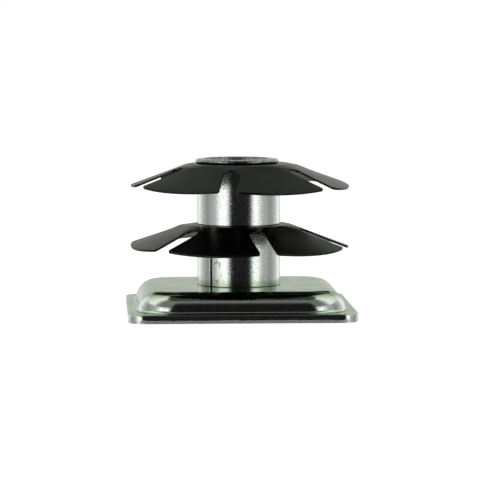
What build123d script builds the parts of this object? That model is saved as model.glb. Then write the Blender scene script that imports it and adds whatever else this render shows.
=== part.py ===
"""Threaded double-star insert for the end of a square steel tube.

Origin: centre of the flange's underside. +Z up, into the tube. -Y is the front.
Angles round the axis are measured from the front, positive towards +X.
All lengths are in millimetres and all angles in degrees.
"""

from build123d import *
import os
from math import cos, radians, sin, tan

os.makedirs("parts", exist_ok=True)

# Square tube that the insert closes
tube_outside = 50.8
tube_wall = 1.65
tube_inside = tube_outside - 2 * tube_wall

# Base plate, drawn from sheet
plate_sheet = 1.9
plate_height = 6.4
flange_corner = 4.0
flange_roll_over = 0.3
fracture_height = 0.75
fracture_draft = 4.0
dome_clearance = 0.45
dome_corner = 9.5
dome_draft = 14.0
dome_shoulder = 4.6
foot_radius = 0.8

# Threaded bushing, the rivet that holds the stack together
barrel_outside = 15.875
barrel_clearance = 0.06
thread_minor = 10.84
thread_lead_in = 0.8
head_overhang = 3.06
head_thickness = 2.5
head_edge = 0.5
lip_overhang = 1.46
lip_height = 1.05
lip_edge = 0.45
lip_offset = 0.35
lip_crest = 1.0
flare_depth = 0.85
flare_lead_in = 1.2

# Rolled spacer sleeves
sleeve_wall = 1.4
sleeve_length = 13.25
sleeve_edge = 0.15
seam_gap = 0.5
seam_edge = 0.2
lower_seam_angle = -44.5
upper_seam_angle = 163.0

# Spring-steel stars
star_interference = 1.9
star_sheet = 0.5
star_dish = 21.0
star_seat_margin = 1.9
star_bend = 1.5
slot_count = 6
slot_width = 4.15
slot_root_margin = 2.9
petal_corner = 0.9
petal_flatness = 0.5
lower_star_turn = 12.8
upper_star_turn = -8.5

# Radii worked out from the sizes above
barrel_radius = barrel_outside / 2
passage_radius = barrel_radius + barrel_clearance
sleeve_radius = passage_radius + sleeve_wall
head_radius = barrel_radius + head_overhang
lip_radius = barrel_radius + lip_overhang
flare_mouth_radius = lip_radius - lip_crest
flare_root_radius = thread_minor / 2 + flare_lead_in
star_flat_radius = sleeve_radius + star_seat_margin
star_radius = (tube_inside + star_interference) / 2
slot_root_radius = star_flat_radius + slot_root_margin
petal_angle = 360 / slot_count

# Heights of the stack
lower_sleeve_base = plate_height
lower_star_top = lower_sleeve_base + sleeve_length + star_sheet
upper_sleeve_base = lower_star_top
upper_star_top = upper_sleeve_base + sleeve_length + star_sheet
head_top = plate_height - plate_sheet
head_bottom = head_top - head_thickness
lip_top = upper_star_top + lip_height


def front_angle(angle):
    """Turn an angle from the front (-Y) into one from +X."""
    return angle - 90.0


def drafted_boss(side, corner, height, shoulder):
    """Rounded square boss with drafted walls and a rounded shoulder; side is its size at z = 0."""
    with BuildPart() as boss:
        with BuildSketch():
            RectangleRounded(side, side, corner)
        extrude(amount=height, taper=dome_draft)
        fillet(boss.faces().sort_by(Axis.Z)[-1].edges(), shoulder)
    return boss.part


def base_plate():
    """Square cap: a blanked flange round a dome of the same sheet."""
    draft = radians(dome_draft)
    outer_side = tube_inside - 2 * dome_clearance + 2 * plate_sheet * tan(draft)
    inner_side = outer_side - 2 * plate_sheet / cos(draft)
    with BuildPart() as plate:
        # Burnished part of the blanked edge, then the fractured part that leans inwards below it
        with BuildSketch(Plane.XY.offset(fracture_height)):
            RectangleRounded(tube_outside, tube_outside, flange_corner)
        extrude(amount=plate_sheet - fracture_height)
        fillet(plate.faces().sort_by(Axis.Z)[-1].edges(), flange_roll_over)
        with BuildSketch(Plane.XY.offset(fracture_height)):
            RectangleRounded(tube_outside, tube_outside, flange_corner)
        extrude(amount=-fracture_height, taper=fracture_draft)
        add(drafted_boss(outer_side, dome_corner, plate_height, dome_shoulder))
        foot_edges = plate.edges().filter_by_position(Axis.Z, plate_sheet - 0.01, plate_sheet + 0.01)
        dome_foot = foot_edges.filter_by(
            lambda edge: max(abs(edge.center().X), abs(edge.center().Y)) < tube_inside / 2
        )
        fillet(dome_foot, foot_radius)
        # Hollow underside: the sheet keeps its thickness round the shoulder and the foot
        hollow_corner = dome_corner - plate_sheet
        hollow = drafted_boss(inner_side, hollow_corner, head_top, dome_shoulder - plate_sheet)
        add(hollow, mode=Mode.SUBTRACT)
        mouth_edges = plate.edges().filter_by_position(Axis.Z, -0.01, 0.01).filter_by(
            lambda edge: max(abs(edge.center().X), abs(edge.center().Y)) < tube_inside / 2
        )
        fillet(mouth_edges, foot_radius + plate_sheet)
        with BuildSketch(Plane.XY.offset(plate_height)):
            Circle(passage_radius)
        extrude(amount=-plate_sheet, mode=Mode.SUBTRACT)
    return plate.part


def flared_lip():
    """Ring that the barrel's top was flared into, round the upper star's hole."""
    with BuildPart() as lip:
        with BuildSketch(Plane.XZ) as section:
            with BuildLine():
                Polyline(
                    (flare_root_radius, upper_star_top),
                    (lip_radius, upper_star_top),
                    (lip_radius, lip_top),
                    (flare_mouth_radius, lip_top),
                    (flare_root_radius, lip_top - flare_depth),
                    close=True,
                )
            make_face()
            outer_corners = section.vertices().filter_by(lambda corner: corner.X > lip_radius - 0.01)
            fillet(outer_corners, lip_edge)
        revolve(axis=Axis.Z)
    return lip.part.moved(Location((-lip_offset, 0, 0)))


def threaded_bushing():
    """Barrel with a head under the dome and a flared lip over the upper star."""
    with BuildPart() as bushing:
        with BuildSketch(Plane.XZ) as section:
            with BuildLine():
                Polyline(
                    (0, head_bottom),
                    (head_radius, head_bottom),
                    (head_radius, head_top),
                    (barrel_radius, head_top),
                    (barrel_radius, upper_star_top + lip_edge),
                    (0, upper_star_top + lip_edge),
                    close=True,
                )
            make_face()
            head_corners = section.vertices().filter_by(lambda corner: corner.X > head_radius - 0.01)
            fillet(head_corners.sort_by(Axis.Y)[0], head_edge)
        revolve(axis=Axis.Z)
        add(flared_lip())
        # Threaded bore, modelled at the thread's minor diameter, with a lead-in at each end
        bore_top = lip_top - flare_depth
        with BuildSketch(Plane.XZ):
            with BuildLine():
                Polyline(
                    (0, head_bottom),
                    (thread_minor / 2 + thread_lead_in, head_bottom),
                    (thread_minor / 2, head_bottom + thread_lead_in),
                    (thread_minor / 2, bore_top - flare_lead_in),
                    (flare_root_radius, bore_top),
                    (flare_mouth_radius, lip_top),
                    (0, lip_top),
                    close=True,
                )
            make_face()
        revolve(axis=Axis.Z, mode=Mode.SUBTRACT)
    return bushing.part


def rolled_sleeve(base, seam_angle):
    """Sleeve rolled from strip, its two sheared ends facing each other across a narrow seam."""
    with BuildPart() as sleeve:
        with BuildSketch(Plane.XY.offset(base)) as section:
            Circle(sleeve_radius)
            Circle(passage_radius, mode=Mode.SUBTRACT)
            with Locations((sleeve_radius, 0)):
                Rectangle(2 * sleeve_radius, seam_gap, mode=Mode.SUBTRACT)
            seam_corners = section.vertices().filter_by(
                lambda corner: corner.X > passage_radius + sleeve_wall / 2
            )
            fillet(seam_corners, seam_edge)
        extrude(amount=sleeve_length)
        ends = sleeve.faces().filter_by(Axis.Z)
        rims = ends.edges().filter_by(
            lambda edge: edge.length > sleeve_radius
        ).group_by(SortBy.RADIUS)[-1]
        fillet(rims, sleeve_edge)
    return sleeve.part.rotate(Axis.Z, front_angle(seam_angle))


def star_petal(top):
    """One petal pointing to +X with its share of the flat ring, cut from a cone wider than the star."""
    slope = radians(star_dish)
    flat = star_flat_radius
    drop = (star_radius - flat) * tan(slope)
    reach = star_radius + 3 * star_sheet
    reach_drop = (reach - flat) * tan(slope)
    axis_setback = star_radius * petal_flatness / (1 - petal_flatness)
    cone_axis = Axis((-axis_setback, 0, 0), (0, 0, 1))
    with BuildPart() as petal:
        with BuildSketch(Plane.XZ) as section:
            with BuildLine():
                Polyline(
                    (0, top),
                    (flat, top),
                    (reach, top - reach_drop),
                    (reach, top - reach_drop - star_sheet / cos(slope)),
                    (flat - star_sheet * tan(slope / 2), top - star_sheet),
                    (0, top - star_sheet),
                    close=True,
                )
            make_face()
            bends = section.vertices().filter_by(lambda corner: abs(corner.X - flat) < star_sheet)
            lower_bend, upper_bend = bends.sort_by(Axis.Y)
            fillet(upper_bend, star_bend + star_sheet)
            fillet(lower_bend, star_bend)
        wide_cone = revolve(axis=cone_axis, revolution_arc=petal_angle, mode=Mode.PRIVATE)
        add(wide_cone.rotate(cone_axis, -petal_angle / 2))
        # The star's own share of the turn, then its rim, square to the sheet
        half_width = 2 * reach * tan(radians(petal_angle / 2))
        with BuildSketch(Plane.XY.offset(top + star_sheet)):
            Polygon((0, 0), (2 * reach, -half_width), (2 * reach, half_width), align=None)
        extrude(amount=-(drop + 4 * star_sheet), mode=Mode.INTERSECT)
        with BuildSketch(Plane.XZ):
            with BuildLine():
                Polyline(
                    (0, top + star_sheet),
                    (-star_radius - (drop + star_sheet) * tan(slope), top + star_sheet),
                    (-star_radius + 2 * star_sheet * tan(slope), top - drop - 2 * star_sheet),
                    (0, top - drop - 2 * star_sheet),
                    close=True,
                )
            make_face()
        revolve(axis=Axis.Z, mode=Mode.INTERSECT)
    return petal.part


def dished_star(top, turn):
    """Slotted disc: a flat ring round the barrel, then petals that slope down to the rim."""
    drop = (star_radius - star_flat_radius) * tan(radians(star_dish))
    slot_start = slot_root_radius + slot_width / 2
    slot_end = star_radius + slot_width
    petal = star_petal(top)
    with BuildPart() as star:
        with PolarLocations(0, slot_count, front_angle(turn) + petal_angle / 2):
            add(petal)
        with BuildSketch(Plane.XY.offset(top)):
            Circle(passage_radius)
        extrude(amount=-star_sheet, mode=Mode.SUBTRACT)
        with BuildSketch(Plane.XY.offset(top + star_sheet)):
            with PolarLocations((slot_start + slot_end) / 2, slot_count, front_angle(turn)):
                SlotCenterToCenter(slot_end - slot_start, slot_width)
        extrude(amount=-(drop + 3 * star_sheet), mode=Mode.SUBTRACT)
        petal_corners = star.edges().filter_by(
            lambda edge: edge.length < 1.3 * star_sheet
            and Vector(edge.center().X, edge.center().Y).length > star_radius - star_sheet
        )
        fillet(petal_corners, petal_corner)
    return star.part


pieces = {
    "base_plate": base_plate(),
    "threaded_bushing": threaded_bushing(),
    "lower_spacer": rolled_sleeve(lower_sleeve_base, lower_seam_angle),
    "lower_star": dished_star(lower_star_top, lower_star_turn),
    "upper_spacer": rolled_sleeve(upper_sleeve_base, upper_seam_angle),
    "upper_star": dished_star(upper_star_top, upper_star_turn),
}

for name, piece in pieces.items():
    piece.label = name
    export_step(piece, f"parts/{name}.step")
    print(name, "volume", round(piece.volume, 1), "mm3")
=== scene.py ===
# %% [markdown]
# # A threaded insert for a square tube
#
# This lesson dresses a small steel part: a drawn, zinc-plated cap, two rolled sleeves, two black
# spring stars and the threaded bushing that holds them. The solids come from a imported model, the
# frame. What already has its true form there keeps its mesh and gets a finish. The stars and the
# bushing are built again here, because their sheared edges, bent petals and thread are finer
# than the solids need.

# %% Load the frame and print its sizes
import math

import bmesh
import bpy
from mathutils import Matrix, Vector


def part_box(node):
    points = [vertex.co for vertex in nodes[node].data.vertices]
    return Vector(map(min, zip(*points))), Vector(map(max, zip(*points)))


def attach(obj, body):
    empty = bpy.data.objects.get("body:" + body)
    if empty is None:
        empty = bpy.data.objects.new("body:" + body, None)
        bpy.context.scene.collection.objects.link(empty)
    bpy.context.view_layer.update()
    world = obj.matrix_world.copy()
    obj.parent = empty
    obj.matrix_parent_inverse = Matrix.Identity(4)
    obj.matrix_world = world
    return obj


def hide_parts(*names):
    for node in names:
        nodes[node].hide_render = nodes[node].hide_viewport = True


MM = 0.001
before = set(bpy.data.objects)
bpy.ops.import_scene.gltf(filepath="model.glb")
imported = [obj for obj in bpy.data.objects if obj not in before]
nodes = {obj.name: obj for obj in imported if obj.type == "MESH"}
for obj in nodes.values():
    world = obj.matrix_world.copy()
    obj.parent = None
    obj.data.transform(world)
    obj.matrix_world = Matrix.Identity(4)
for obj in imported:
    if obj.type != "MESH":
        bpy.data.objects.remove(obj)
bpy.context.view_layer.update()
for name in sorted(nodes):
    low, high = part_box(name)
    print(name, [round(value / MM, 2) for value in (*low, *high)])

# %% [markdown]
# ## One helper for node trees
#
# Geometry and material trees are both built from nodes. One small function adds a node, sets its
# options and fills its inputs, in order or by name. An input gets a plain value, the output of
# another node, or another node, which then stands for its first output. The names above the
# function are short words for the kinds of node that come up most.

# %% Add a node
MATH = "ShaderNodeMath"
RANGE = "ShaderNodeMapRange"
MIX = "ShaderNodeMix"
NOISE = "ShaderNodeTexNoise"
RAMP = "ShaderNodeValToRGB"
SPLIT = "ShaderNodeSeparateXYZ"
JOIN = "ShaderNodeCombineXYZ"


def fill_inputs(tree, node, inputs):
    """Fill a node's inputs. Each one is a plain value, an output or a node."""
    pairs = inputs.items() if isinstance(inputs, dict) else enumerate(inputs)
    for key, value in pairs:
        if isinstance(value, bpy.types.Node):
            value = value.outputs[0]
        if isinstance(value, bpy.types.NodeSocket):
            tree.links.new(value, node.inputs[key])
        else:
            node.inputs[key].default_value = value


def add_node(tree, kind, inputs=(), **settings):
    """Add a node of this kind, set its options and fill its inputs."""
    node = tree.nodes.new(kind)
    for name, value in settings.items():
        setattr(node, name, value)
    fill_inputs(tree, node, inputs)
    return node


# %% Colours, patterns and new materials
def linear(code):
    """Turn an sRGB hex colour such as "8FA0B0" into linear red, green, blue and alpha."""
    parts = [int(code[place : place + 2], 16) / 255 for place in (0, 2, 4)]
    return [c / 12.92 if c <= 0.04045 else ((c + 0.055) / 1.055) ** 2.4 for c in parts] + [1.0]


def lumps_of(width):
    """Scale of a pattern whose lumps are this many millimetres wide."""
    return 1 / (width * MM)


def set_stops(ramp_node, stops):
    """Set the stops of a colour ramp. Each stop is a position and a linear colour."""
    elements = ramp_node.color_ramp.elements
    for position, _ in stops[1:-1]:
        elements.new(position)
    for element, (position, colour) in zip(elements, stops):
        element.position = position
        element.color = colour


def new_material(name):
    """A node material with its tree, its shader and the place in the object's own space."""
    material = bpy.data.materials.new(name)
    material.use_nodes = True
    tree = material.node_tree
    place = add_node(tree, "ShaderNodeTexCoord").outputs["Object"]
    return material, tree, tree.nodes["Principled BSDF"], place


# %% [markdown]
# ## Bright zinc plating
#
# The cap and the sleeves are mild steel with a bright zinc plating and a clear chromate dip. The
# plating is a mirror with a very fine grain: tiny crystals break the edges of each reflection into
# speckles, and the small pits between them are a little rougher. Single crystals are too small to
# see, so the speckle is drawn about 0.3 mm wide. The chromate film adds faint patches of green,
# yellow and pink, most of all on level faces and round the foot of the lower sleeve, where the dip
# dries last. Zinc is a metal, so its colour is in its reflection. The film tints that reflection
# at a steep angle and, less, at a grazing one.

# %% Colours and sizes of the plating
ZINC_COLOUR = "E0E3DF"
ZINC_SHADE = "B4BBB6"
FILM_STOPS = ((0.48, "ACCFB0"), (0.60, "D8DEAC"), (0.75, "D4CCC2"))
CLEAR = "FFFFFF"
SPECKLE_SIZE = 0.3
PATCH_SIZE = 6.0
SPECKLE_LOW = 0.3
SPECKLE_HIGH = 0.7
SMOOTH_CRYSTAL = 0.7
ROUGH_CRYSTAL = 1.4
PIT_START = 0.52
PIT_ROUGHNESS = 0.12
FILM_TILT = 0.5
FILM_ON_WALLS = 0.2
SLEEVE_FOOT = 6.4
FOOT_FILM = 1.6
FOOT_STRENGTH = 0.5
GLANCING_FILM = 0.45
HAIRLINE = 0.01


# %% Where the film is thick
def film_share(tree, place, strength):
    """Strength of the film's tint: full on level faces, some at the foot of the lower sleeve."""
    normal = add_node(tree, "ShaderNodeNewGeometry").outputs["Normal"]
    upward = add_node(tree, SPLIT, (normal,)).outputs["Z"]
    level = (upward, FILM_TILT, 1.0, strength * FILM_ON_WALLS, strength)
    level = add_node(tree, RANGE, level, interpolation_type="SMOOTHSTEP")
    height = add_node(tree, SPLIT, (place,)).outputs["Z"]
    foot = (height, SLEEVE_FOOT * MM, (SLEEVE_FOOT + FOOT_FILM) * MM, FOOT_STRENGTH, 0.0)
    foot = add_node(tree, RANGE, foot)
    above_cap = (height, (SLEEVE_FOOT - HAIRLINE) * MM, SLEEVE_FOOT * MM, 0.0, 1.0)
    above_cap = add_node(tree, RANGE, above_cap)
    foot = add_node(tree, MATH, (foot, above_cap), operation="MULTIPLY")
    return add_node(tree, MATH, (level, foot), operation="MAXIMUM")


# %% A zinc material
def zinc_material(name, roughness, speckle_height, film_strength, mark=None):
    """Bright zinc: roughness, height of its speckle in mm, strength of its film, and one mark."""
    material, tree, shader, place = new_material(name)
    speckle = {"Vector": place, "Scale": lumps_of(SPECKLE_SIZE), "Detail": 3.0, "Roughness": 0.6}
    speckle = add_node(tree, NOISE, speckle)
    shade = add_node(tree, RANGE, (speckle, SPECKLE_LOW, SPECKLE_HIGH, 0.0, 1.0))
    grain = {0: shade, 6: linear(ZINC_COLOUR), 7: linear(ZINC_SHADE)}
    grain = add_node(tree, MIX, grain, data_type="RGBA").outputs[2]

    # Patches of the film, in the reflection and at a grazing angle
    patches = add_node(tree, NOISE, {"Vector": place, "Scale": lumps_of(PATCH_SIZE)})
    film = add_node(tree, RAMP, {"Fac": patches})
    set_stops(film, [(position, linear(code)) for position, code in FILM_STOPS])
    share = film_share(tree, place, film_strength)
    tinted = {0: share, 6: grain, 7: film}
    tinted = add_node(tree, MIX, tinted, data_type="RGBA", blend_type="MULTIPLY").outputs[2]
    glancing = add_node(tree, MATH, (share, GLANCING_FILM), operation="MULTIPLY")
    glancing = {0: glancing, 6: linear(CLEAR), 7: film}
    glancing = add_node(tree, MIX, glancing, data_type="RGBA").outputs[2]

    # Crystals and pits
    rough = (speckle, SPECKLE_LOW, SPECKLE_HIGH)
    rough += (roughness * SMOOTH_CRYSTAL, roughness * ROUGH_CRYSTAL)
    rough = add_node(tree, RANGE, rough)
    pits = add_node(tree, RANGE, (speckle, PIT_START, SPECKLE_HIGH, 0.0, PIT_ROUGHNESS))
    rough = add_node(tree, MATH, (rough, pits), operation="ADD")
    lumps = add_node(tree, MATH, (speckle, speckle_height * MM), operation="MULTIPLY")

    finish = {"colour": tinted, "rough": rough, "lumps": lumps}
    if mark:
        mark(tree, place, finish)
    bump = {"Height": finish["lumps"], "Strength": 1.0, "Distance": 1.0}
    surface = {
        "Base Color": finish["colour"],
        "Metallic": 1.0,
        "Roughness": finish["rough"],
        "Specular Tint": glancing,
        "Normal": add_node(tree, "ShaderNodeBump", bump),
    }
    fill_inputs(tree, shader, surface)
    return material


# %% [markdown]
# ## Marks on the plating
#
# Three places look different from the rest. The blanked edge of the cap is smooth where the punch
# cut it and torn below, so the lower part there is rough and grey. The bushing's lip was hammered
# flat after plating, so it is full of dents, and its colour is darker in blotches. A drop of rinse
# water has dried on the lower sleeve beside its seam and left its outline. Each mark is worked out
# from a point's place in the piece's own space, so it stays where it is from every side.

# %% The torn edge of the cap
FLANGE_HALF = 25.4
EDGE_DEPTH = 0.4
EDGE_BLEND = 0.2
FRACTURE_HEIGHT = 0.75
FRACTURE_WANDER = 0.3
FRACTURE_WAVE = 1.6
FRACTURE_BLEND = 0.1
TEAR_SIZE = 0.35
TEAR_DEPTH = 0.1
TORN_ROUGHNESS = 0.3


def torn_edge(tree, place, finish):
    """Make the lower part of the cap's edge rough, up to a wandering line."""
    parts = add_node(tree, SPLIT, (place,)).outputs
    aside = add_node(tree, MATH, (parts["X"],), operation="ABSOLUTE")
    ahead = add_node(tree, MATH, (parts["Y"],), operation="ABSOLUTE")
    outward = add_node(tree, MATH, (aside, ahead), operation="MAXIMUM")
    edge_start = (FLANGE_HALF - EDGE_DEPTH) * MM
    edge = add_node(tree, RANGE, (outward, edge_start, edge_start + EDGE_BLEND * MM, 0.0, 1.0))
    wave = {"Vector": place, "Scale": lumps_of(FRACTURE_WAVE), "Detail": 3.0}
    wave = add_node(tree, NOISE, wave)
    wave = add_node(tree, MATH, (wave, FRACTURE_WANDER * MM), operation="MULTIPLY")
    height = add_node(tree, MATH, (parts["Z"], wave), operation="ADD")
    top = (FRACTURE_HEIGHT + FRACTURE_WANDER / 2) * MM
    torn = add_node(tree, RANGE, (height, top - FRACTURE_BLEND * MM, top, 1.0, 0.0))
    torn = add_node(tree, MATH, (torn, edge), operation="MULTIPLY")
    rougher = add_node(tree, MATH, (torn, TORN_ROUGHNESS), operation="MULTIPLY")
    finish["rough"] = add_node(tree, MATH, (finish["rough"], rougher), operation="ADD")
    tears = {"Vector": place, "Scale": lumps_of(TEAR_SIZE), "Detail": 4.0, "Roughness": 0.7}
    tears = add_node(tree, NOISE, tears)
    tears = add_node(tree, MATH, (tears, TEAR_DEPTH * MM), operation="MULTIPLY")
    tears = add_node(tree, MATH, (tears, torn), operation="MULTIPLY")
    finish["lumps"] = add_node(tree, MATH, (finish["lumps"], tears), operation="ADD")


# %% The dented lip, darker in blotches
LIP_FOOT = 33.98
LIP_BLEND = 0.1
LIP_DARK = "60625E"
LIP_LIGHT = "9DA19C"
BLOTCH_LOW = 0.35
BLOTCH_HIGH = 0.65
DENT_SIZE = 0.9
DENT_DEPTH = 0.12


def dented_darker_lip(tree, place, finish):
    """Darken in blotches and dent what stands above the upper star."""
    height = add_node(tree, SPLIT, (place,)).outputs["Z"]
    on_lip = add_node(tree, RANGE, (height, LIP_FOOT * MM, (LIP_FOOT + LIP_BLEND) * MM, 0.0, 1.0))
    dents = {"Vector": place, "Scale": lumps_of(DENT_SIZE), "Detail": 3.0, "Roughness": 0.6}
    dents = add_node(tree, NOISE, dents)
    blotches = add_node(tree, RANGE, (dents, BLOTCH_LOW, BLOTCH_HIGH, 0.0, 1.0))
    # Above the upper star the zinc's colour is darker, in blotches between a dark and a light grey
    blotches = {0: blotches, 6: linear(LIP_DARK), 7: linear(LIP_LIGHT)}
    blotches = add_node(tree, MIX, blotches, data_type="RGBA").outputs[2]
    blotched = {0: on_lip, 6: finish["colour"], 7: blotches}
    finish["colour"] = add_node(tree, MIX, blotched, data_type="RGBA").outputs[2]
    dents = add_node(tree, MATH, (dents, DENT_DEPTH * MM), operation="MULTIPLY")
    dents = add_node(tree, MATH, (dents, on_lip), operation="MULTIPLY")
    finish["lumps"] = add_node(tree, MATH, (finish["lumps"], dents), operation="ADD")


# %% The dried drop
MARK_COLOUR = "5C635F"
MARK_ASIDE = 5.2
MARK_HEIGHT = 9.8
MARK_WIDTH = 1.7
MARK_LENGTH = 4.6
MARK_WAVE = 1.5
MARK_WANDER = 3.0
MARK_LINE = 0.16
MARK_STRENGTH = 0.75
MARK_BLEND = 0.1


def rinse_mark(tree, place, finish):
    """Draw the ragged outline of a tall drop on the front of the lower sleeve."""
    parts = add_node(tree, SPLIT, (place,)).outputs
    wander = {"Vector": place, "Scale": lumps_of(MARK_WAVE), "Detail": 3.0}
    wander = add_node(tree, NOISE, wander)
    wander = add_node(tree, MATH, (wander, 0.5), operation="SUBTRACT")
    wander = add_node(tree, MATH, (wander, MARK_WANDER * MM), operation="MULTIPLY")
    across = add_node(tree, MATH, (parts["X"], MARK_ASIDE * MM), operation="ADD")
    across = add_node(tree, MATH, (across, wander), operation="ADD")
    across = add_node(tree, MATH, (across, MARK_WIDTH / 2 * MM), operation="DIVIDE")
    across = add_node(tree, MATH, (across, across), operation="MULTIPLY")
    upright = add_node(tree, MATH, (parts["Z"], MARK_HEIGHT * MM), operation="SUBTRACT")
    upright = add_node(tree, MATH, (upright, MARK_LENGTH / 2 * MM), operation="DIVIDE")
    upright = add_node(tree, MATH, (upright, upright), operation="MULTIPLY")
    reach = add_node(tree, MATH, (across, upright), operation="ADD")
    reach = add_node(tree, MATH, (reach,), operation="SQRT")
    line = add_node(tree, MATH, (reach, 1.0), operation="SUBTRACT")
    line = add_node(tree, MATH, (line,), operation="ABSOLUTE")
    line = add_node(tree, RANGE, (line, 0.0, MARK_LINE, MARK_STRENGTH, 0.0))
    in_front = add_node(tree, RANGE, (parts["Y"], -MARK_BLEND * MM, 0.0, 1.0, 0.0))
    line = add_node(tree, MATH, (line, in_front), operation="MULTIPLY")
    marked = {0: line, 6: finish["colour"], 7: linear(MARK_COLOUR)}
    finish["colour"] = add_node(tree, MIX, marked, data_type="RGBA").outputs[2]


# %% Four zinc finishes
drawn_zinc = zinc_material("bright_zinc_on_drawn_sheet", 0.10, 0.006, 0.95, torn_edge)
rolled_zinc = zinc_material("bright_zinc_on_rolled_strip", 0.12, 0.017, 0.15)
marked_zinc = zinc_material("bright_zinc_with_a_rinse_mark", 0.12, 0.017, 0.15, rinse_mark)
turned_zinc = zinc_material("bright_zinc_on_turned_steel", 0.16, 0.006, 0.15, dented_darker_lip)
print("zinc materials", [m.name for m in (drawn_zinc, rolled_zinc, marked_zinc, turned_zinc)])

# %% [markdown]
# ## Black oxide on spring steel
#
# The stars are stamped from spring steel, hardened and blackened in a hot oxide bath, then oiled.
# The oxide is thin and dark with a satin sheen, a little browner where the oil has dried. Seen
# along its surface it shines, but greyer than bare steel does, so the shader has a dark base, a
# moderate gloss and a grey tint at grazing angles.

# %% Black oxide
OXIDE_COLOUR = "2E3130"
OXIDE_BROWN = "373936"
OXIDE_GLANCING = "D3D5CF"
OXIDE_ROUGHNESS = (0.22, 0.30)
MOTTLE_SIZE = 4.0
MOTTLE_LOW = 0.3
MOTTLE_HIGH = 0.7
OXIDE_GRAIN = 0.3
OXIDE_GRAIN_HEIGHT = 0.004

black_oxide, tree, shader, place = new_material("black_oxide_on_spring_steel")
mottle = {"Vector": place, "Scale": lumps_of(MOTTLE_SIZE), "Detail": 5.0, "Roughness": 0.6}
mottle = add_node(tree, NOISE, mottle)
browned = {0: mottle, 6: linear(OXIDE_COLOUR), 7: linear(OXIDE_BROWN)}
grain = add_node(tree, NOISE, {"Vector": place, "Scale": lumps_of(OXIDE_GRAIN)})
grain = add_node(tree, MATH, (grain, OXIDE_GRAIN_HEIGHT * MM), operation="MULTIPLY")
bump = {"Height": grain, "Strength": 1.0, "Distance": 1.0}
surface = {
    "Base Color": add_node(tree, MIX, browned, data_type="RGBA").outputs[2],
    "Metallic": 1.0,
    "Roughness": add_node(tree, RANGE, (mottle, MOTTLE_LOW, MOTTLE_HIGH, *OXIDE_ROUGHNESS)),
    "Specular Tint": linear(OXIDE_GLANCING),
    "Normal": add_node(tree, "ShaderNodeBump", bump),
}
fill_inputs(tree, shader, surface)
print("oxide material", black_oxide.name)

# %% [markdown]
# ## The spring stars, by a rule
#
# A star is one thin sheet: a flat ring round the barrel and six petals parted by round-ended
# slots. Every petal is the same, so a Geometry Nodes tree bends one grid of faces into a petal and
# turns copies of it round the axis. The grid's rows run outwards. Where a row crosses the round end
# of a slot, its half width follows the arc of that end, so the slot's outline is smooth with few
# faces. A petal is flatter than a cone: its corners stand a little higher than its middle, because
# the sheet bends easily in one direction only. Solidify and Bevel then give the sheet its
# thickness and its sheared edges.

# %% Sizes of a star, in millimetres and degrees
STAR_HOLE = 8.3
STAR_FLAT = 11.2975
STAR_ROOT = 14.1975
STAR_RIM = 24.75
STAR_SHEET = 0.5
STAR_DISH = 20.6
STAR_BEND = 0.9
PETAL_FLATNESS = 0.55
PETAL_CORNER = 0.65
SLOT_WIDTH = 3.95
SLOT_COUNT = 6
SHEARED_EDGE = 0.04
SHEARED_ANGLE = 50
ROWS_ACROSS = 36
ROWS_OUT = 60
RING_SHARE = 0.25
ROUND_SHARE = 0.5
PETAL_MERGE = 0.02
STAR_INPUTS = ("Hole", "Flat", "Root", "Rim", "Slot Width", "Corner", "Slope", "Bend")
STAR_INPUTS += ("Flatness", "Turn", "Top", "Lean Aside", "Lean Ahead", "Play Aside")


# %% The start and the end of a geometry tree
def new_tree(name, numbers, counts):
    """An empty geometry tree with number inputs, a finish and a geometry output."""
    tree = bpy.data.node_groups.new(name, "GeometryNodeTree")
    sockets = tree.interface
    sockets.new_socket("Geometry", in_out="INPUT", socket_type="NodeSocketGeometry")
    for label in numbers:
        sockets.new_socket(label, in_out="INPUT", socket_type="NodeSocketFloat")
    for label in counts:
        sockets.new_socket(label, in_out="INPUT", socket_type="NodeSocketInt")
    sockets.new_socket("Finish", in_out="INPUT", socket_type="NodeSocketMaterial")
    sockets.new_socket("Geometry", in_out="OUTPUT", socket_type="NodeSocketGeometry")
    return tree, add_node(tree, "NodeGroupInput").outputs


def end_tree(tree, geometry, merge_distance, finish):
    """Make instances real, merge what meets, set the finish and give the result out."""
    real = add_node(tree, "GeometryNodeRealizeInstances", {"Geometry": geometry})
    merged = {"Geometry": real, "Distance": merge_distance}
    merged = add_node(tree, "GeometryNodeMergeByDistance", merged)
    painted = {"Geometry": merged, "Material": finish}
    painted = add_node(tree, "GeometryNodeSetMaterial", painted)
    add_node(tree, "NodeGroupOutput", (painted,))


# %% The rows of a petal
def row_radius(tree, given, out, half_slot):
    """Radius of a row: across the ring, round the slot's end, then along its straight sides."""
    ring = add_node(tree, RANGE, (out, 0.0, RING_SHARE, given["Hole"], given["Root"]))
    arc = add_node(tree, RANGE, (out, RING_SHARE, ROUND_SHARE, 0.0, math.pi / 2))
    arc_out = add_node(tree, MATH, (arc,), operation="COSINE")
    arc_out = add_node(tree, MATH, (1.0, arc_out), operation="SUBTRACT")
    arc_out = add_node(tree, MATH, (half_slot, arc_out), operation="MULTIPLY")
    straight = add_node(tree, MATH, (given["Rim"], given["Root"]), operation="SUBTRACT")
    straight = add_node(tree, MATH, (straight, half_slot), operation="SUBTRACT")
    straight = add_node(tree, RANGE, (out, ROUND_SHARE, 1.0, 0.0, straight))
    radius = add_node(tree, MATH, (ring, arc_out), operation="ADD")
    radius = add_node(tree, MATH, (radius, straight), operation="ADD")
    opening = add_node(tree, MATH, (arc,), operation="SINE")
    opening = add_node(tree, MATH, (half_slot, opening), operation="MULTIPLY")
    return radius, opening


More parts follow.
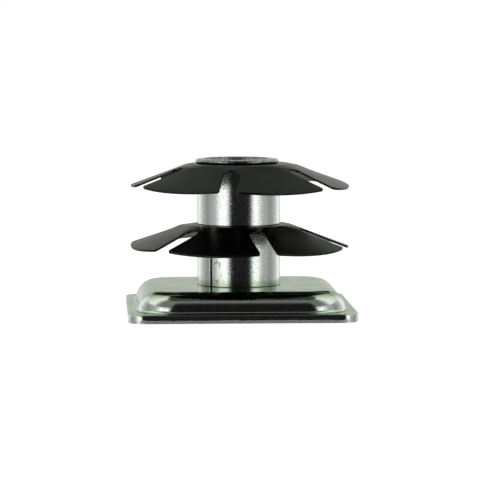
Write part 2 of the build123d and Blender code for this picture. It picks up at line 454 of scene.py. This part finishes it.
def row_angle(tree, given, radius, opening):
    """Angle that a petal fills in a row: its share of the turn, less half a slot at each side."""
    share = add_node(tree, MATH, (2 * math.pi, given["Petals"]), operation="DIVIDE")
    slot = add_node(tree, MATH, (opening, radius), operation="DIVIDE")
    slot = add_node(tree, MATH, (slot,), operation="ARCSINE")
    slot = add_node(tree, MATH, (slot, 2.0), operation="MULTIPLY")
    return add_node(tree, MATH, (share, slot), operation="SUBTRACT")


def rounded_corners(tree, given, out, across, petal_angle, radius):
    """Shorten a petal near its sides, so that its corners at the rim are round."""
    inset = add_node(tree, MATH, (across,), operation="ABSOLUTE")
    inset = add_node(tree, MATH, (0.5, inset), operation="SUBTRACT")
    reach = add_node(tree, MATH, (inset, petal_angle), operation="MULTIPLY")
    reach = add_node(tree, MATH, (reach, radius), operation="MULTIPLY")
    short = add_node(tree, MATH, (given["Corner"], reach), operation="SUBTRACT")
    short = add_node(tree, MATH, (short, 0.0), operation="MAXIMUM")
    short = add_node(tree, MATH, (short, short), operation="MULTIPLY")
    rise = add_node(tree, MATH, (given["Corner"], given["Corner"]), operation="MULTIPLY")
    rise = add_node(tree, MATH, (rise, short), operation="SUBTRACT")
    rise = add_node(tree, MATH, (rise,), operation="SQRT")
    cut = add_node(tree, MATH, (given["Corner"], rise), operation="SUBTRACT")
    near_rim = add_node(tree, RANGE, (out, ROUND_SHARE, 1.0, 0.0, 1.0))
    cut = add_node(tree, MATH, (cut, near_rim), operation="MULTIPLY")
    return add_node(tree, MATH, (radius, cut), operation="SUBTRACT")


# %% The form of a petal
def radius_of_level(tree, given, half_slot, angle, radius):
    """Radius that sets a point's height. A petal's sides count as nearer, so they drop less."""
    bow = add_node(tree, MATH, (angle,), operation="COSINE")
    bow = add_node(tree, MATH, (1.0, bow), operation="SUBTRACT")
    wave = add_node(tree, MATH, (angle, given["Petals"]), operation="MULTIPLY")
    wave = add_node(tree, MATH, (wave,), operation="COSINE")
    wave = add_node(tree, MATH, (1.0, wave), operation="SUBTRACT")
    petal_bow = (1 - math.cos(math.pi / SLOT_COUNT)) / 2
    ring_bow = add_node(tree, MATH, (wave, petal_bow), operation="MULTIPLY")
    inner = add_node(tree, MATH, (given["Root"], half_slot), operation="SUBTRACT")
    outer = add_node(tree, MATH, (given["Root"], given["Slot Width"]), operation="ADD")
    free = (radius, inner, outer, 0.0, 1.0)
    free = add_node(tree, RANGE, free, interpolation_type="SMOOTHSTEP")
    bow = add_node(tree, MIX, {0: free, 2: ring_bow, 3: bow})
    begun = (radius, given["Flat"], given["Root"], 0.0, 1.0)
    begun = add_node(tree, RANGE, begun, interpolation_type="SMOOTHSTEP")
    inward = add_node(tree, MATH, (bow, radius), operation="MULTIPLY")
    inward = add_node(tree, MATH, (inward, given["Flatness"]), operation="MULTIPLY")
    inward = add_node(tree, MATH, (inward, begun), operation="MULTIPLY")
    return add_node(tree, MATH, (radius, inward), operation="SUBTRACT")


def fall_below_ring(tree, given, level_radius):
    """How far a point lies below the flat ring: a soft bend, then a straight slope."""
    past = add_node(tree, MATH, (level_radius, given["Flat"]), operation="SUBTRACT")
    double = add_node(tree, MATH, (given["Bend"], 2.0), operation="MULTIPLY")
    soft = add_node(tree, MATH, (past, given["Bend"]), operation="ADD")
    soft = add_node(tree, MATH, (soft, 0.0), operation="MAXIMUM")
    soft = add_node(tree, MATH, (soft, double), operation="MINIMUM")
    soft = add_node(tree, MATH, (soft, soft), operation="MULTIPLY")
    soft = add_node(tree, MATH, (soft, double), operation="DIVIDE")
    soft = add_node(tree, MATH, (soft, 0.5), operation="MULTIPLY")
    steep = add_node(tree, MATH, (past, given["Bend"]), operation="SUBTRACT")
    steep = add_node(tree, MATH, (steep, 0.0), operation="MAXIMUM")
    fall = add_node(tree, MATH, (soft, steep), operation="ADD")
    slope = add_node(tree, MATH, (given["Slope"],), operation="TANGENT")
    return add_node(tree, MATH, (fall, slope), operation="MULTIPLY")


# %% Petals round the axis
def petals_round_axis(tree, given, petal):
    """Copies of a petal, one for each share of the turn."""
    seats = add_node(tree, "GeometryNodePoints", {"Count": given["Petals"]})
    number = add_node(tree, "GeometryNodeInputIndex")
    number = add_node(tree, MATH, (number, 0.5), operation="ADD")
    share = add_node(tree, MATH, (2 * math.pi, given["Petals"]), operation="DIVIDE")
    turn = add_node(tree, MATH, (number, share), operation="MULTIPLY")
    turn = add_node(tree, MATH, (turn, given["Turn"]), operation="ADD")
    spin = add_node(tree, JOIN, {"Z": turn})
    copies = {"Points": seats, "Instance": petal, "Rotation": spin}
    copies = add_node(tree, "GeometryNodeInstanceOnPoints", copies)
    return add_node(tree, "GeometryNodeRealizeInstances", {"Geometry": copies})


def leaning_petals(tree, given, star):
    """Lean the petals, as on a star squeezed between sleeves, and use the play of its hole."""
    position = add_node(tree, "GeometryNodeInputPosition")
    parts = add_node(tree, SPLIT, (position,)).outputs
    aside = add_node(tree, MATH, (parts["X"], given["Lean Aside"]), operation="MULTIPLY")
    ahead = add_node(tree, MATH, (parts["Y"], given["Lean Ahead"]), operation="MULTIPLY")
    lift = add_node(tree, MATH, (aside, ahead), operation="ADD")
    flat_place = add_node(tree, JOIN, {"X": parts["X"], "Y": parts["Y"]})
    distance = add_node(tree, "ShaderNodeVectorMath", (flat_place,), operation="LENGTH")
    loose = (distance.outputs["Value"], given["Flat"], given["Root"], 0.0, 1.0)
    loose = add_node(tree, RANGE, loose, interpolation_type="SMOOTHSTEP")
    lift = add_node(tree, MATH, (lift, loose), operation="MULTIPLY")
    shift = add_node(tree, JOIN, {"X": given["Play Aside"], "Z": lift})
    return add_node(tree, "GeometryNodeSetPosition", {"Geometry": star, "Offset": shift})


# %% A tree that makes one star
def star_tree():
    """Geometry Nodes tree: one petal from a grid, copied round the axis and merged."""
    tree, given = new_tree("star_of_petals", STAR_INPUTS, ("Petals",))
    grid = {"Size X": 1.0, "Size Y": 1.0, "Vertices X": ROWS_ACROSS + 1, "Vertices Y": ROWS_OUT + 1}
    grid = add_node(tree, "GeometryNodeMeshGrid", grid)
    position = add_node(tree, "GeometryNodeInputPosition")
    start = add_node(tree, SPLIT, (position,)).outputs
    out = add_node(tree, MATH, (start["Y"], 0.5), operation="ADD")
    across = add_node(tree, MATH, (start["X"], math.pi), operation="MULTIPLY")
    across = add_node(tree, MATH, (across,), operation="SINE")
    across = add_node(tree, MATH, (across, 0.5), operation="MULTIPLY")
    half_slot = add_node(tree, MATH, (given["Slot Width"], 0.5), operation="MULTIPLY")

    radius, opening = row_radius(tree, given, out, half_slot)
    petal_angle = row_angle(tree, given, radius, opening)
    angle = add_node(tree, MATH, (across, petal_angle), operation="MULTIPLY")
    radius = rounded_corners(tree, given, out, across, petal_angle, radius)
    level_radius = radius_of_level(tree, given, half_slot, angle, radius)
    fall = fall_below_ring(tree, given, level_radius)

    cosine = add_node(tree, MATH, (angle,), operation="COSINE")
    sine = add_node(tree, MATH, (angle,), operation="SINE")
    spot = {
        "X": add_node(tree, MATH, (radius, cosine), operation="MULTIPLY"),
        "Y": add_node(tree, MATH, (radius, sine), operation="MULTIPLY"),
        "Z": add_node(tree, MATH, (given["Top"], fall), operation="SUBTRACT"),
    }
    spot = add_node(tree, JOIN, spot)
    petal = add_node(tree, "GeometryNodeSetPosition", {"Geometry": grid, "Position": spot})
    star = petals_round_axis(tree, given, petal)
    star = leaning_petals(tree, given, star)
    end_tree(tree, star, PETAL_MERGE * MM, given["Finish"])
    return tree


# %% Run a tree
def run_tree(tree, name, values):
    """Run a geometry tree on an empty mesh and return its result as a plain object."""
    source = bpy.data.objects.new(name + "_source", bpy.data.meshes.new(name + "_source"))
    bpy.context.scene.collection.objects.link(source)
    modifier = source.modifiers.new("tree", "NODES")
    modifier.node_group = tree
    for item in tree.interface.items_tree:
        if item.in_out == "INPUT" and item.name in values:
            modifier[item.identifier] = values[item.name]
    depsgraph = bpy.context.evaluated_depsgraph_get()
    mesh = bpy.data.meshes.new_from_object(source.evaluated_get(depsgraph))
    mesh.name = name
    source.modifiers.remove(modifier)
    bpy.data.objects.remove(source)
    made = bpy.data.objects.new(name, mesh)
    bpy.context.scene.collection.objects.link(made)
    return made


# %% [markdown]
# ## Both stars
#
# The two stars come from the same die and are turned differently on the barrel. Their petals lean
# forward by about one degree, so the front ones hang lower than the back ones. Their holes have
# some play on the barrel, and both were squeezed a little to the right of it. The turn of each
# star is measured at a slot, from the front.

# %% Make both stars
LOWER_TURN = 12.5
UPPER_TURN = -9.2
LOWER_LEAN = (-0.006, 0.016)
UPPER_LEAN = (-0.005, 0.018)
LOWER_PLAY = 0.2
UPPER_PLAY = 0.28
petal_tree = star_tree()


def make_star(name, node_name, turn, lean, play):
    """One star in the place of its solid: sheet thickness and sheared edges added as modifiers."""
    values = {
        "Hole": STAR_HOLE * MM,
        "Flat": STAR_FLAT * MM,
        "Root": STAR_ROOT * MM,
        "Rim": STAR_RIM * MM,
        "Slot Width": SLOT_WIDTH * MM,
        "Corner": PETAL_CORNER * MM,
        "Slope": math.radians(STAR_DISH),
        "Bend": STAR_BEND * MM,
        "Flatness": PETAL_FLATNESS,
        "Turn": math.radians(turn - 90),
        "Top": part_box(node_name)[1][2],
        "Lean Aside": lean[0],
        "Lean Ahead": lean[1],
        "Play Aside": play * MM,
        "Petals": SLOT_COUNT,
        "Finish": black_oxide,
    }
    star = run_tree(petal_tree, name, values)
    if star.data.polygons[0].normal.z < 0:
        star.data.flip_normals()
    sheet = star.modifiers.new("sheet", "SOLIDIFY")
    sheet.thickness = STAR_SHEET * MM
    sheet.offset = -1.0
    sheet.use_even_offset = True
    edge = star.modifiers.new("sheared_edge", "BEVEL")
    edge.width = SHEARED_EDGE * MM
    edge.segments = 2
    edge.limit_method = "ANGLE"
    edge.angle_limit = math.radians(SHEARED_ANGLE)
    star.data.shade_smooth()
    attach(star, "root")
    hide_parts(node_name)
    print(name, len(star.data.vertices), "points before its thickness")


make_star("lower_spring_star", "lower_star", LOWER_TURN, LOWER_LEAN, LOWER_PLAY)
make_star("upper_spring_star", "upper_star", UPPER_TURN, UPPER_LEAN, UPPER_PLAY)

# %% [markdown]
# ## The threaded bushing
#
# The bushing is turned from bar, threaded, and then riveted over the upper star, which leaves the
# flared lip. The thread is a right-hand inch thread with a pitch of 1.954 mm. Its profile repeats
# with every turn, so it comes from a tree too. The rows of the grid follow the helix: each row
# climbs by one pitch in a full turn and meets the row that is one turn further on. Rows that would
# pass an end of the bore are held at that end. The rest is a plain turned profile.

# %% Sizes of the thread, in millimetres
THREAD_PITCH = 1.954
THREAD_MAJOR = 6.35
THREAD_MINOR = 5.42
BORE_LEAD_IN = 0.95
FLARE_LEAD_IN = 1.2
FLARE_DEPTH = 0.85
LIP_OFFSET = -0.35
ROWS_PER_PITCH = 16
COLUMNS = 96
CREST_PHASE = 0.375
ROOT_PHASE = 0.0625
THREAD_MERGE = 0.002
THREAD_INPUTS = ("Bottom", "Top", "Pitch", "Major", "Minor", "Lead In", "Flare Lead In", "Offset")

bushing_low, bushing_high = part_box("threaded_bushing")
HEAD_BOTTOM = bushing_low[2] / MM
LIP_TOP = bushing_high[2] / MM
BORE_TOP = LIP_TOP - FLARE_DEPTH
print("bore from", round(HEAD_BOTTOM, 2), "to", round(BORE_TOP, 2))


# %% A tree that cuts the thread
def thread_tree():
    """Geometry Nodes tree: the wall of a bore with an internal thread and a lead-in at each end."""
    tree, given = new_tree("internal_thread", THREAD_INPUTS, ("Rows", "Columns"))
    grid = {"Size X": 1.0, "Size Y": 1.0}
    grid["Vertices X"] = add_node(tree, MATH, (given["Rows"], 1.0), operation="ADD")
    grid["Vertices Y"] = add_node(tree, MATH, (given["Columns"], 1.0), operation="ADD")
    grid = add_node(tree, "GeometryNodeMeshGrid", grid)
    position = add_node(tree, "GeometryNodeInputPosition")
    start = add_node(tree, SPLIT, (position,)).outputs
    row = add_node(tree, MATH, (start["X"], 0.5), operation="ADD")
    row = add_node(tree, MATH, (row, given["Rows"]), operation="MULTIPLY")
    row = add_node(tree, MATH, (row,), operation="ROUND")
    turn = add_node(tree, MATH, (start["Y"], 0.5), operation="ADD")

    # Height on the helix, held at the ends of the bore
    turns_up = add_node(tree, MATH, (row, float(ROWS_PER_PITCH)), operation="DIVIDE")
    height = add_node(tree, MATH, (turns_up, turn), operation="ADD")
    height = add_node(tree, MATH, (height, 1.0), operation="SUBTRACT")
    height = add_node(tree, MATH, (height, given["Pitch"]), operation="MULTIPLY")
    height = add_node(tree, MATH, (height, given["Bottom"]), operation="ADD")
    height = add_node(tree, MATH, (height, given["Bottom"]), operation="MAXIMUM")
    height = add_node(tree, MATH, (height, given["Top"]), operation="MINIMUM")

    # Sixty-degree profile with flats at crest and root, opened by the lead-in at each end
    phase = add_node(tree, MATH, (turns_up,), operation="FRACT")
    phase = add_node(tree, MATH, (phase, 0.5), operation="SUBTRACT")
    phase = add_node(tree, MATH, (phase,), operation="ABSOLUTE")
    profile = (phase, ROOT_PHASE, CREST_PHASE, given["Major"], given["Minor"])
    profile = add_node(tree, RANGE, profile)
    lead_in = add_node(tree, MATH, (height, given["Bottom"]), operation="SUBTRACT")
    lead_in = add_node(tree, MATH, (given["Lead In"], lead_in), operation="SUBTRACT")
    flare = add_node(tree, MATH, (given["Top"], height), operation="SUBTRACT")
    flare = add_node(tree, MATH, (given["Flare Lead In"], flare), operation="SUBTRACT")
    opened = add_node(tree, MATH, (lead_in, flare), operation="MAXIMUM")
    opened = add_node(tree, MATH, (opened, given["Minor"]), operation="ADD")
    radius = add_node(tree, MATH, (profile, opened), operation="MAXIMUM")

    # The flare's mouth is pushed aside with the lip
    push = (flare, 0.0, given["Flare Lead In"], 0.0, given["Offset"])
    push = add_node(tree, RANGE, push, interpolation_type="SMOOTHSTEP")
    angle = add_node(tree, MATH, (turn, 2 * math.pi), operation="MULTIPLY")
    cosine = add_node(tree, MATH, (angle,), operation="COSINE")
    sine = add_node(tree, MATH, (angle,), operation="SINE")
    aside = add_node(tree, MATH, (radius, cosine), operation="MULTIPLY")
    spot = {
        "X": add_node(tree, MATH, (aside, push), operation="ADD"),
        "Y": add_node(tree, MATH, (radius, sine), operation="MULTIPLY"),
        "Z": height,
    }
    spot = add_node(tree, JOIN, spot)
    wall = add_node(tree, "GeometryNodeSetPosition", {"Geometry": grid, "Position": spot})
    end_tree(tree, wall, THREAD_MERGE * MM, given["Finish"])
    return tree


# %% Cut the thread
thread_values = {
    "Bottom": HEAD_BOTTOM * MM,
    "Top": BORE_TOP * MM,
    "Pitch": THREAD_PITCH * MM,
    "Major": THREAD_MAJOR * MM,
    "Minor": THREAD_MINOR * MM,
    "Lead In": BORE_LEAD_IN * MM,
    "Flare Lead In": FLARE_LEAD_IN * MM,
    "Offset": LIP_OFFSET * MM,
    "Rows": math.ceil(((BORE_TOP - HEAD_BOTTOM) / THREAD_PITCH + 1) * ROWS_PER_PITCH),
    "Columns": COLUMNS,
    "Finish": turned_zinc,
}
bushing = run_tree(thread_tree(), "turned_bushing", thread_values)
print("thread", len(bushing.data.vertices), "points")

# %% Sizes of the turned outside, in millimetres and degrees
BARREL_RADIUS = 7.9375
FLARE_MOUTH = 8.0
CROWN_EDGE = 0.5
CROWN_INSIDE = 130
CROWN_OUTSIDE = 80
LIP_RADIUS = 9.3975
LIP_EDGE = 0.42
LIP_DROP = 0.12
LIP_TUCK = -55
LIP_UNDERCUT = 0.5
HEAD_RADIUS = 10.9975
HEAD_THICKNESS = 2.5
HEAD_EDGE = 0.5
ROUNDING_STEPS = 5
SEAT_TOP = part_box("upper_star")[1][2] / MM
HEAD_TOP = HEAD_BOTTOM + HEAD_THICKNESS


def rounded(radius, height, edge, start_angle, end_angle):
    """Points of a round edge, between two angles in degrees, about a centre in the profile."""
    points = []
    for step in range(ROUNDING_STEPS + 1):
        angle = math.radians(start_angle + (end_angle - start_angle) * step / ROUNDING_STEPS)
        points.append((radius + edge * math.cos(angle), height + edge * math.sin(angle), 0.0))
    return points


def turned_profile(name, profile):
    """Turn a profile round the axis. Each point has a radius, a height and an offset along X."""
    points = []
    faces = []
    for radius, height, offset in profile:
        for column in range(COLUMNS):
            angle = 2 * math.pi * column / COLUMNS
            x = radius * math.cos(angle) + offset
            points.append((x * MM, radius * math.sin(angle) * MM, height * MM))
    for inner in range(0, (len(profile) - 1) * COLUMNS, COLUMNS):
        outer = inner + COLUMNS
        for column in range(COLUMNS):
            following = (column + 1) % COLUMNS
            faces.append((inner + column, inner + following, outer + following, outer + column))
    mesh = bpy.data.meshes.new(name)
    mesh.from_pydata(points, [], faces)
    return mesh


# %% Turn the outside
lip = [(THREAD_MINOR + FLARE_LEAD_IN, BORE_TOP, 0.0)]
lip += rounded(FLARE_MOUTH, LIP_TOP - CROWN_EDGE, CROWN_EDGE, CROWN_INSIDE, CROWN_OUTSIDE)
lip_centre = LIP_TOP - LIP_DROP - LIP_EDGE
lip += rounded(LIP_RADIUS - LIP_EDGE, lip_centre, LIP_EDGE, CROWN_OUTSIDE, LIP_TUCK)
lip.append((LIP_RADIUS - LIP_UNDERCUT, SEAT_TOP, 0.0))
profile = [(radius, height, LIP_OFFSET) for radius, height, _ in lip]
profile += [(BARREL_RADIUS, SEAT_TOP, 0.0), (BARREL_RADIUS, HEAD_TOP, 0.0)]
profile.append((HEAD_RADIUS, HEAD_TOP, 0.0))
profile += rounded(HEAD_RADIUS - HEAD_EDGE, HEAD_BOTTOM + HEAD_EDGE, HEAD_EDGE, 0, -90)
profile.append((THREAD_MINOR + BORE_LEAD_IN, HEAD_BOTTOM, 0.0))
turned_outside = turned_profile("turned_outside", profile)
print("profile of", len(profile), "points")

# %% Join the thread and the outside
JOIN_DISTANCE = 0.003
SLIVER = 0.001
SHARP_ANGLE = 32

shape = bmesh.new()
shape.from_mesh(bushing.data)
shape.from_mesh(turned_outside)
bmesh.ops.remove_doubles(shape, verts=shape.verts, dist=JOIN_DISTANCE * MM)
bmesh.ops.dissolve_degenerate(shape, edges=shape.edges, dist=SLIVER * MM)
bmesh.ops.recalc_face_normals(shape, faces=shape.faces)
open_edges = sum(1 for edge in shape.edges if len(edge.link_faces) != 2)
for face in shape.faces:
    face.material_index = 0
shape.to_mesh(bushing.data)
shape.free()
bushing.data.materials.clear()
bushing.data.materials.append(turned_zinc)
bpy.data.meshes.remove(turned_outside)
bushing.data.shade_smooth()
bushing.data.set_sharp_from_angle(angle=math.radians(SHARP_ANGLE))
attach(bushing, "root")
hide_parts("threaded_bushing")
print("bushing", len(bushing.data.polygons), "faces, open edges", open_edges)

# %% [markdown]
# ## Finishes on the pieces that keep their mesh
#
# The cap and the two sleeves have their true form in the frame, so they only get a finish. The cap
# has the strongest film, because its top is level, and the lower sleeve has the dried drop.

# %% Finishes
for node_name, material in (
    ("base_plate", drawn_zinc),
    ("lower_spacer", marked_zinc),
    ("upper_spacer", rolled_zinc),
):
    nodes[node_name].data.materials.clear()
    nodes[node_name].data.materials.append(material)
    print(node_name, "gets", material.name)

# %% [markdown]
# ## The camera
#
# The photo was taken from a little above, with a long lens, a few degrees left of the front. A
# long lens from far away keeps the sides of the cap nearly parallel. The camera was turned and
# moved until the corners of the cap and the outlines of the pieces met those in the photo.

# %% Camera
CAMERA_AZIMUTH = -2.834
CAMERA_ELEVATION = 4.497
CAMERA_DISTANCE = 0.6847
CAMERA_ROLL = -0.066
CAMERA_LENS = 226.3
SENSOR_WIDTH = 36.0
AIM_HEIGHT = 16.382
AIM_ASIDE = 0.292

azimuth = math.radians(CAMERA_AZIMUTH)
elevation = math.radians(CAMERA_ELEVATION)
back_x = math.sin(azimuth) * math.cos(elevation)
back_y = -math.cos(azimuth) * math.cos(elevation)
back = Vector((back_x, back_y, math.sin(elevation)))
right = Vector((math.cos(azimuth), math.sin(azimuth), 0))
aim = Vector((0, 0, AIM_HEIGHT * MM)) + right * AIM_ASIDE * MM
turned = Matrix((right, back.cross(right), back)).transposed()
turned = turned @ Matrix.Rotation(math.radians(CAMERA_ROLL), 3, "Z")
camera_data = bpy.data.cameras.new("camera")
camera_data.sensor_width = SENSOR_WIDTH
camera_data.lens = CAMERA_LENS
camera_data.clip_start = 0.01
camera = bpy.data.objects.new("camera", camera_data)
camera.matrix_world = Matrix.Translation(aim + back * CAMERA_DISTANCE) @ turned.to_4x4()
bpy.context.scene.collection.objects.link(camera)
bpy.context.scene.camera = camera
bpy.context.scene.view_settings.view_transform = "Standard"
print("camera at", [round(value, 3) for value in camera.matrix_world.translation])

# %% [markdown]
# ## The studio
#
# Polished metal is a picture of the room. The photo's reflections tell what the room was: two tall
# soft boxes at the front left and front right, an arched dark gap between them where the camera
# stands, greyer walls at the sides, bright panels further back and a pale backdrop behind. Higher
# up there are more panels at the sides, and the ceiling is dark. The world is painted from those
# directions. Camera rays see plain white instead.

# %% Levels of light, by direction in degrees
WALL_LEVELS = (
    (30, 1.75),
    (52, 1.70),
    (62, 1.00),
    (71, 0.62),
    (84, 0.56),
    (97, 0.38),
    (110, 0.56),
    (124, 0.80),
    (134, 1.20),
    (148, 1.35),
    (158, 0.78),
    (180, 0.70),
)
PANEL_LEVELS = (
    (0, 0.34),
    (50, 0.22),
    (70, 0.40),
    (88, 1.40),
    (118, 1.20),
    (142, 0.90),
    (156, 0.42),
    (180, 0.40),
)
PANEL_START = 30.0
PANEL_SOFTNESS = 4.0
CEILING_LEVEL = 0.08
CEILING_START = 72.0
CEILING_SOFTNESS = 3.0
FLOOR_LEVEL = 0.55
FLOOR_START = -17.0
FLOOR_SOFTNESS = 4.0
GAP_LEVEL = 0.012
GAP_ASIDE = 5.0
GAP_WIDTH = 33.0
GAP_CENTRE = -5.0
GAP_HEIGHT = 66.0
GAP_SOFTNESS = 0.2

# %% Directions, from the camera's side
world = bpy.data.worlds.new("studio")
bpy.context.scene.world = world
world.use_nodes = True
tree = world.node_tree
tree.nodes.clear()
direction = add_node(tree, "ShaderNodeTexCoord").outputs["Generated"]
direction = {"Vector": direction, "Angle": -azimuth}
direction = add_node(tree, "ShaderNodeVectorRotate", direction, rotation_type="Z_AXIS")
parts = add_node(tree, SPLIT, (direction,)).outputs
toward = add_node(tree, MATH, (parts["Y"], -1.0), operation="MULTIPLY")
side = add_node(tree, MATH, (parts["X"], toward), operation="ARCTAN2")
bearing = add_node(tree, MATH, (side,), operation="ABSOLUTE")
height = add_node(tree, MATH, (parts["Z"],), operation="ARCSINE")


def grey(level):
    """A neutral colour of this level."""
    return (level, level, level, 1.0)


def levels_around(levels):
    """Grey levels by bearing, from the camera's side to the back."""
    around = add_node(tree, MATH, (bearing, math.pi), operation="DIVIDE")
    ramp_node = add_node(tree, RAMP, {"Fac": around})
    set_stops(ramp_node, [(degrees / 180, grey(level)) for degrees, level in levels])
    return ramp_node


def share_above(start, softness):
    """Share of what lies above a height in degrees, with a soft edge."""
    ends = (math.radians(start - softness), math.radians(start + softness))
    return add_node(tree, RANGE, (height, *ends, 0.0, 1.0), interpolation_type="SMOOTHSTEP")


# %% Walls, panels, ceiling and floor
above = share_above(PANEL_START, PANEL_SOFTNESS)
room = {0: above, 6: levels_around(WALL_LEVELS), 7: levels_around(PANEL_LEVELS)}
room = add_node(tree, MIX, room, data_type="RGBA").outputs[2]
overhead = share_above(CEILING_START, CEILING_SOFTNESS)
room = {0: overhead, 6: room, 7: grey(CEILING_LEVEL)}
room = add_node(tree, MIX, room, data_type="RGBA").outputs[2]
above_floor = share_above(FLOOR_START, FLOOR_SOFTNESS)
room = {0: above_floor, 6: grey(FLOOR_LEVEL), 7: room}
room = add_node(tree, MIX, room, data_type="RGBA").outputs[2]

# %% The dark gap, and white for the camera
gap_aside = add_node(tree, MATH, (side, math.radians(GAP_ASIDE)), operation="SUBTRACT")
gap_aside = add_node(tree, MATH, (gap_aside, math.radians(GAP_WIDTH)), operation="DIVIDE")
gap_aside = add_node(tree, MATH, (gap_aside, gap_aside), operation="MULTIPLY")
gap_up = add_node(tree, MATH, (height, math.radians(GAP_CENTRE)), operation="SUBTRACT")
gap_up = add_node(tree, MATH, (gap_up, math.radians(GAP_HEIGHT)), operation="DIVIDE")
gap_up = add_node(tree, MATH, (gap_up, gap_up), operation="MULTIPLY")
beside_gap = add_node(tree, MATH, (gap_aside, gap_up), operation="ADD")
beside_gap = add_node(tree, MATH, (beside_gap,), operation="SQRT")
beside_gap = (beside_gap, 1 - GAP_SOFTNESS, 1 + GAP_SOFTNESS, 0.0, 1.0)
beside_gap = add_node(tree, RANGE, beside_gap, interpolation_type="SMOOTHSTEP")
room = {0: beside_gap, 6: grey(GAP_LEVEL), 7: room}
room = add_node(tree, MIX, room, data_type="RGBA").outputs[2]
studio = add_node(tree, "ShaderNodeBackground", {"Color": room, "Strength": 1.0})
white = add_node(tree, "ShaderNodeBackground", {"Color": grey(1.0), "Strength": 1.0})
camera_ray = add_node(tree, "ShaderNodeLightPath").outputs["Is Camera Ray"]
choice = add_node(tree, "ShaderNodeMixShader", (camera_ray, studio, white))
add_node(tree, "ShaderNodeOutputWorld", (choice,))
print("studio of", len(tree.nodes), "nodes")

# %% [markdown]
# ## The floor
#
# The photo's floor is burnt out to white, with hardly a shadow. A matt plane with a little glow of
# its own gives that, and it still darkens close to the part. Seen from below it is clear, and the
# metal reflects the studio's own floor instead.

# %% Floor
FLOOR_SIZE = 0.6
FLOOR_GLOW = 0.80
FLOOR_COLOUR = "C8C8C8"
FLOOR_HEIGHT = -0.02

corners = [(-FLOOR_SIZE, -FLOOR_SIZE), (FLOOR_SIZE, -FLOOR_SIZE), (FLOOR_SIZE, FLOOR_SIZE)]
corners.append((-FLOOR_SIZE, FLOOR_SIZE))
floor_mesh = bpy.data.meshes.new("floor")
floor_mesh.from_pydata([(x, y, FLOOR_HEIGHT * MM) for x, y in corners], [], [(0, 1, 2, 3)])
floor = bpy.data.objects.new("floor", floor_mesh)
bpy.context.scene.collection.objects.link(floor)
floor_material = bpy.data.materials.new("pale_floor")
floor_material.use_nodes = True
tree = floor_material.node_tree
tree.nodes.clear()
matt = add_node(tree, "ShaderNodeBsdfDiffuse", {"Color": linear(FLOOR_COLOUR)})
glow = add_node(tree, "ShaderNodeEmission", {"Strength": FLOOR_GLOW})
pale = add_node(tree, "ShaderNodeAddShader", (matt, glow))
clear = add_node(tree, "ShaderNodeBsdfTransparent")
in_metal = add_node(tree, "ShaderNodeLightPath").outputs["Is Glossy Ray"]
from_below = add_node(tree, "ShaderNodeNewGeometry").outputs["Backfacing"]
unseen = add_node(tree, MATH, (in_metal, from_below), operation="MAXIMUM")
mixed = add_node(tree, "ShaderNodeMixShader", (unseen, pale, clear))
add_node(tree, "ShaderNodeOutputMaterial", (mixed,))
floor_mesh.materials.append(floor_material)
print("floor of", len(floor_mesh.polygons), "face")
